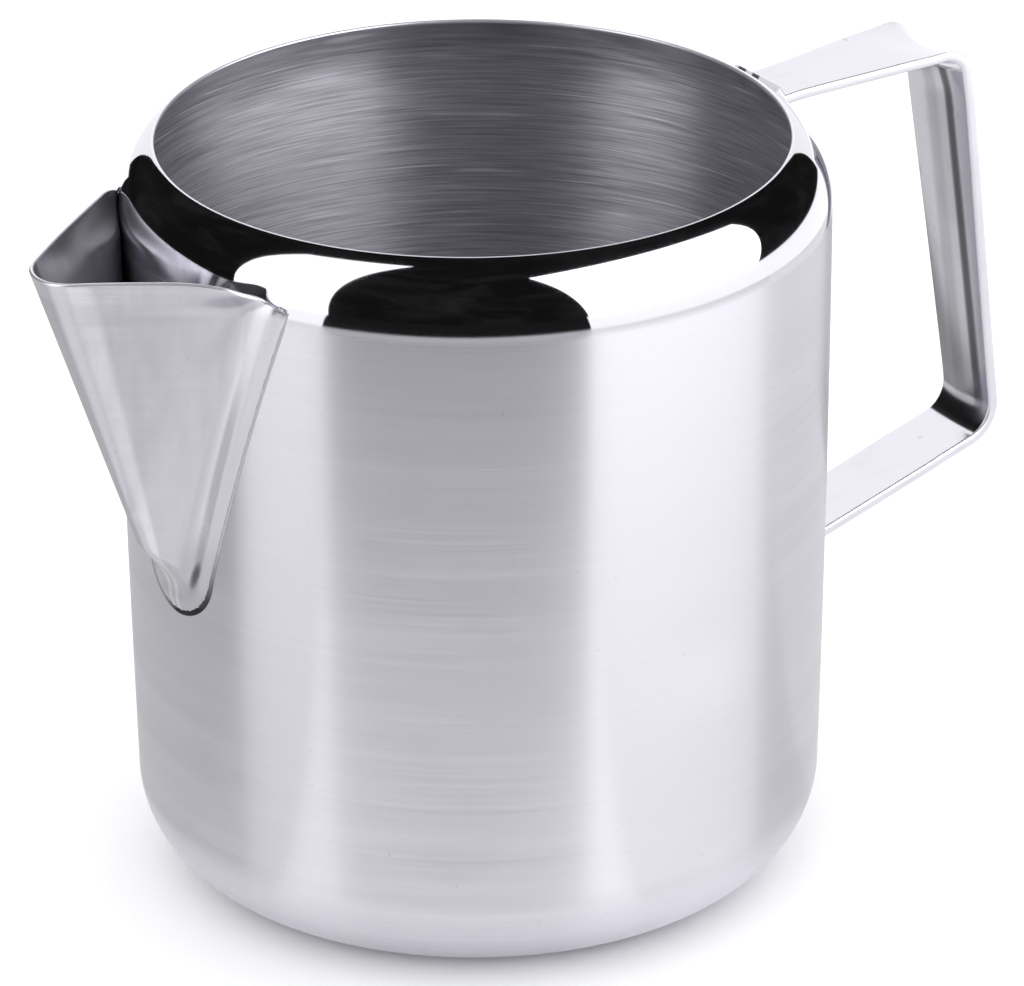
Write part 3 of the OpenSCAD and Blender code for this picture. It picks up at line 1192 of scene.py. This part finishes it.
def make_dome(distance):
    """The dark studio behind the light panels."""
    points = []
    rows, cols = 16, 48
    for i in range(rows + 1):
        elevation = DOME_LOW + (90 - DOME_LOW) * i / rows
        for j in range(cols):
            points.append(towards(360 * j / cols, elevation, distance) / MM)
    stage_piece("dark_dome", points, grid_faces(rows + 1, cols, closed=True), dark_room())


def make_floor_zone(number, start, stop, near, far, level, steps=24):
    """A glowing part of a ring round the jug, seen only in reflections: painted light on the floor,
    painted shade where its brightness is low.
    """
    spin = Matrix.Rotation(VIEW_AZIMUTH, 3, "Z")
    points = []
    for i in range(steps + 1):
        a = radians(start + (stop - start) * i / steps)
        for r in (near, far):
            points.append(spin @ Vector((sin(a) * r, -cos(a) * r, ZONE_Z)) / MM)
    faces = [(2 * i, 2 * i + 1, 2 * i + 3, 2 * i + 2) for i in range(steps)]
    light = glow(f"floor_light_{number}", level)
    stage_piece(f"floor_zone_{number}", points, faces, light)


def make_stage(sizes):
    """Floor, camera, light panels and the dark gaps between them."""
    bpy.context.scene.view_settings.view_transform = "Standard"
    make_world()
    make_camera()
    make_floor()
    d = sizes.tent
    bright = glow("panel_light", sizes.panel_power)
    soft = glow("panel_soft_light", LEFT_SHARE * sizes.panel_power)
    back = glow("back_light", BACK_LIGHT)
    panel("panel_right", ((36, -14), (24, 56), (112, 38), (97, -4)), d, bright)
    panel("panel_left", ((-44.5, -10), (-47, 74), (-88, 58), (-77, -4)), d, soft)
    panel("panel_back_left", ((-152, -4), (-150, 60), (180, 60), (180, -4)), d, back)
    panel("panel_back_right", ((180, -4), (180, 50), (157, 46), (148, -4)), d, back)
    make_dome(d * DOME_SHARE)
    for number, zone in enumerate(FLOOR_ZONES):
        make_floor_zone(number, *zone)


# ---- operators


def jug_shape(context):
    """The jug's outline from the scene's sizes."""
    return JugShape(context.scene.pitcher_jug)


def spout_shape(context):
    """The spout's shape from the scene's sizes."""
    return SpoutShape(context.scene.pitcher_spout, jug_shape(context))


class PITCHER_OT_jug(Operator):
    """Makes the drawn jug with its pouring hole"""

    bl_idname = "pitcher.jug"
    bl_label = "Jug"

    def execute(self, context):
        finish = context.scene.pitcher_finish
        finishes = [outside_steel(finish), inside_steel(finish), edge_steel(finish)]
        piece = make_jug_mesh(jug_shape(context), finishes)
        settle(piece, "jug_steel", "jug_body")
        return {"FINISHED"}


class PITCHER_OT_spout(Operator):
    """Makes the pouring spout and its flange"""

    bl_idname = "pitcher.spout"
    bl_label = "Pouring spout"

    def execute(self, context):
        finish = context.scene.pitcher_finish
        finishes = [spout_steel(finish, False), spout_steel(finish, True), edge_steel(finish)]
        piece = make_spout_mesh(spout_shape(context), finishes)
        settle(piece, "spout_steel", "pouring_spout")
        return {"FINISHED"}


class PITCHER_OT_seams(Operator):
    """Makes the weld round the flange and the two short welds on the shoulder"""

    bl_idname = "pitcher.seams"
    bl_label = "Spout welds"

    def execute(self, context):
        shape = spout_shape(context)
        finish = weld_steel(context.scene.pitcher_finish)
        path = seam_path(shape)
        widths = [0.50 + 0.85 * (1 - smooth_step(z, 55.5, 66)) for y, z in path]
        seam = bead_mesh("seam_weld", shape.jug, path, widths, 0.09, 0.10, finish)
        settle(seam, "weld_metal", "spout_seam_weld")
        for side, sign in (("left", -1), ("right", 1)):
            run = [
                (sign * y, between(RIM, sign * y) + 0.1)
                for y in (23.2 + 0.1 * k for k in range(18))
            ]
            name, widths = f"corner_weld_{side}", [0.7] * len(run)
            corner = bead_mesh(name, shape.jug, run, widths, 0.16, 0.14, finish)
            settle(corner, "weld_metal", "spout_corner_welds")
        return {"FINISHED"}


class PITCHER_OT_strap(Operator):
    """Makes the bent strap handle"""

    bl_idname = "pitcher.strap"
    bl_label = "Strap handle"

    def execute(self, context):
        finish = context.scene.pitcher_finish
        finishes = [
            strap_steel(finish, False), strap_steel(finish, True),
            edge_steel(finish), tab_end(),
        ]
        piece = make_strap_mesh(context.scene.pitcher_strap, jug_shape(context), finishes)
        settle(piece, "strap_steel", "handle_strap")
        return {"FINISHED"}


class PITCHER_OT_spots(Operator):
    """Makes the spot welds of both tabs"""

    bl_idname = "pitcher.spots"
    bl_label = "Spot welds"

    def execute(self, context):
        jug = jug_shape(context)
        finish = weld_steel(context.scene.pitcher_finish)
        upper = make_spot_mesh("upper_spot_welds", jug, ((-3.0, 116.2), (3.0, 116.2)), 1.2, finish)
        settle(upper, "weld_metal", "handle_upper_welds")
        lower = make_spot_mesh("lower_spot_welds", jug, ((0.0, 31.4), (0.0, 25.9)), 2.0, finish)
        settle(lower, "weld_metal", "handle_lower_welds")
        return {"FINISHED"}


class PITCHER_OT_stage(Operator):
    """Makes the floor, the lights and the camera"""

    bl_idname = "pitcher.stage"
    bl_label = "Stage"

    def execute(self, context):
        make_stage(context.scene.pitcher_stage)
        return {"FINISHED"}


class PITCHER_PT_parts(Panel):
    """Lists the pitcher's parts"""

    bl_idname = "PITCHER_PT_parts"
    bl_label = "Milk Frothing Pitcher"
    bl_space_type = "VIEW_3D"
    bl_region_type = "UI"
    bl_category = "Pitcher"

    def draw(self, context):
        layout = self.layout
        for operator in OPERATORS:
            layout.operator(operator.bl_idname)
        for group in GROUPS:
            sizes = getattr(context.scene, group)
            box = layout.box()
            for key in sizes.bl_rna.properties.keys():
                if key not in ("rna_type", "name"):
                    box.prop(sizes, key)


OPERATORS = (
    PITCHER_OT_jug,
    PITCHER_OT_spout,
    PITCHER_OT_seams,
    PITCHER_OT_strap,
    PITCHER_OT_spots,
    PITCHER_OT_stage,
)


def register():
    """Adds the classes and the scene's properties."""
    for group, kind in GROUPS.items():
        bpy.utils.register_class(kind)
        setattr(bpy.types.Scene, group, PointerProperty(type=kind))
    for kind in OPERATORS + (PITCHER_PT_parts,):
        bpy.utils.register_class(kind)


def unregister():
    """Takes the classes and the scene's properties away again."""
    for kind in reversed(OPERATORS + (PITCHER_PT_parts,)):
        bpy.utils.unregister_class(kind)
    for group, kind in GROUPS.items():
        delattr(bpy.types.Scene, group)
        bpy.utils.unregister_class(kind)


def main():
    """Makes every piece and the stage."""
    register()
    bpy.ops.pitcher.jug()
    bpy.ops.pitcher.spout()
    bpy.ops.pitcher.seams()
    bpy.ops.pitcher.strap()
    bpy.ops.pitcher.spots()
    bpy.ops.pitcher.stage()


if __name__ == "__main__":
    main()
